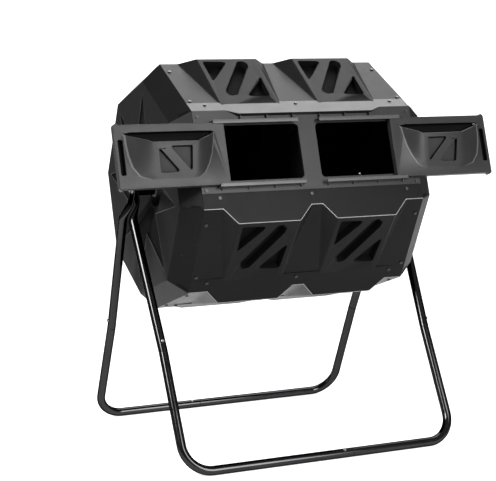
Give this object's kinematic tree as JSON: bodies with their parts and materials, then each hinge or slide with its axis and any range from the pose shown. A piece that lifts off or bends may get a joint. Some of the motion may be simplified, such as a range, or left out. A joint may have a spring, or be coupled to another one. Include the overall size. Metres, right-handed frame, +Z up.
{
  "type": "compost tumbler",
  "caption": "Free-standing garden compost tumbler: an octagonal plastic drum with sliding doors, turning on a steel axle between tubular A-frame legs",
  "frame": {"origin": "floor point under the middle of the axle", "axes": "X along the axle, -Y towards the door side, Z up"},
  "size_m": [0.956, 0.672, 0.9396],
  "materials": {
    "drum_plastic": "moulded recycled plastic, satin",
    "door_plastic": "moulded recycled plastic, satin",
    "rail_plastic": "moulded plastic, worn by the doors",
    "black_steel": "gloss black powder coat",
    "zinc_steel": "zinc plated",
    "screw_steel": "blackened steel",
    "nylon": "black nylon"
  },
  "bodies": {
    "stand": {"leg_upper_front_left": "black_steel", "leg_upper_front_right": "black_steel", "leg_upper_back_left": "black_steel", "leg_upper_back_right": "black_steel", "base_tube_front_long": "black_steel", "base_tube_front_short": "black_steel", "base_tube_back_long": "black_steel", "base_tube_back_short": "black_steel", "button_clips": "zinc_steel", "axle": "zinc_steel", "axle_bolts": "zinc_steel", "axle_washers": "zinc_steel", "axle_spacers": "black_steel"},
    "drum": {"panel_top": "drum_plastic", "panel_door": "drum_plastic", "panel_front": "drum_plastic", "panel_front_low": "drum_plastic", "panel_bottom": "drum_plastic", "panel_back_low": "drum_plastic", "panel_back": "drum_plastic", "panel_back_top": "drum_plastic", "end_cap_left": "drum_plastic", "end_cap_right": "drum_plastic", "hub_bushes": "nylon", "divider": "drum_plastic", "door_rails_upper": "rail_plastic", "door_rails_lower": "rail_plastic", "seam_screws": "screw_steel", "cap_screws_left": "screw_steel", "cap_screws_right": "screw_steel"},
    "door_left": {"door_left": "door_plastic"},
    "door_right": {"door_right": "door_plastic"},
    "button_front_left": {"snap_button_front_left": "zinc_steel"},
    "button_front_right": {"snap_button_front_right": "zinc_steel"},
    "button_back_left": {"snap_button_back_left": "zinc_steel"},
    "button_back_right": {"snap_button_back_right": "zinc_steel"},
    "button_front_bar": {"snap_button_front_bar": "zinc_steel"},
    "button_back_bar": {"snap_button_back_bar": "zinc_steel"}
  },
  "joints": [
    {"name": "drum_spin", "type": "hinge", "parent": "stand", "child": "drum", "pos_m": [0, 0, 0.631], "axis": [1, 0, 0], "range_deg": [-205, 61]},
    {"name": "door_left_slide", "type": "slide", "parent": "drum", "child": "door_left", "axis": [1, 0, 0], "range_m": [0, 0.202]},
    {"name": "door_right_slide", "type": "slide", "parent": "drum", "child": "door_right", "axis": [-1, 0, 0], "range_m": [0, 0.202]},
    {"name": "button_front_left_press", "type": "slide", "parent": "stand", "child": "button_front_left", "axis": [0, 0.8857, -0.4643], "range_m": [0, 0.005], "stiffness_N_per_m": 2000},
    {"name": "button_front_right_press", "type": "slide", "parent": "stand", "child": "button_front_right", "axis": [-0.9992, 0.018, 0.0344], "range_m": [0, 0.005], "stiffness_N_per_m": 2000},
    {"name": "button_back_left_press", "type": "slide", "parent": "stand", "child": "button_back_left", "axis": [0.9992, -0.018, 0.0344], "range_m": [0, 0.005], "stiffness_N_per_m": 2000},
    {"name": "button_back_right_press", "type": "slide", "parent": "stand", "child": "button_back_right", "axis": [0, -0.8857, -0.4643], "range_m": [0, 0.005], "stiffness_N_per_m": 2000},
    {"name": "button_front_bar_press", "type": "slide", "parent": "stand", "child": "button_front_bar", "axis": [0, 0.5736, -0.8192], "range_m": [0, 0.005], "stiffness_N_per_m": 2000},
    {"name": "button_back_bar_press", "type": "slide", "parent": "stand", "child": "button_back_bar", "axis": [0, 0.5736, -0.8192], "range_m": [0, 0.005], "stiffness_N_per_m": 2000}
  ]
}
